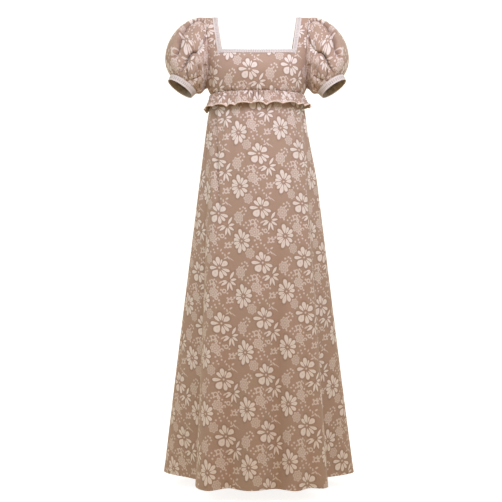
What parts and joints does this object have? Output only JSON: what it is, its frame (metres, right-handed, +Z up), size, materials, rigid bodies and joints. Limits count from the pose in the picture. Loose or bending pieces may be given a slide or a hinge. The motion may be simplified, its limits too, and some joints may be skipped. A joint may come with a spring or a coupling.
{
  "type": "regency gown",
  "caption": "High-waisted floor-length gown in figured cloth, with a square trimmed neck, short puff sleeves and a gathered ruffle at the waist seam.",
  "frame": {"origin": "middle of the shoulder line, at the height of the shoulder seams, where the wearer's shoulders hold the gown", "axes": "+Z up along the gown, -Y towards its front, +X towards the wearer's left"},
  "size_m": [0.5719, 0.5495, 1.3688],
  "materials": {
    "brocade": "figured weave, matt ground with slightly glossier motifs",
    "trim": "matt woven band with a picot edge"
  },
  "bodies": {
    "root": {"bodice_front": "brocade", "bodice_back": "brocade", "neck_trim_front": "trim", "neck_trim_back": "trim", "neck_trim_left": "trim", "neck_trim_right": "trim", "sleeve_left": "brocade", "sleeve_right": "brocade", "cuff_left": "trim", "cuff_right": "trim", "waist_ruffle": "brocade", "skirt_front": "brocade", "skirt_back": "brocade"}
  },
  "joints": []
}
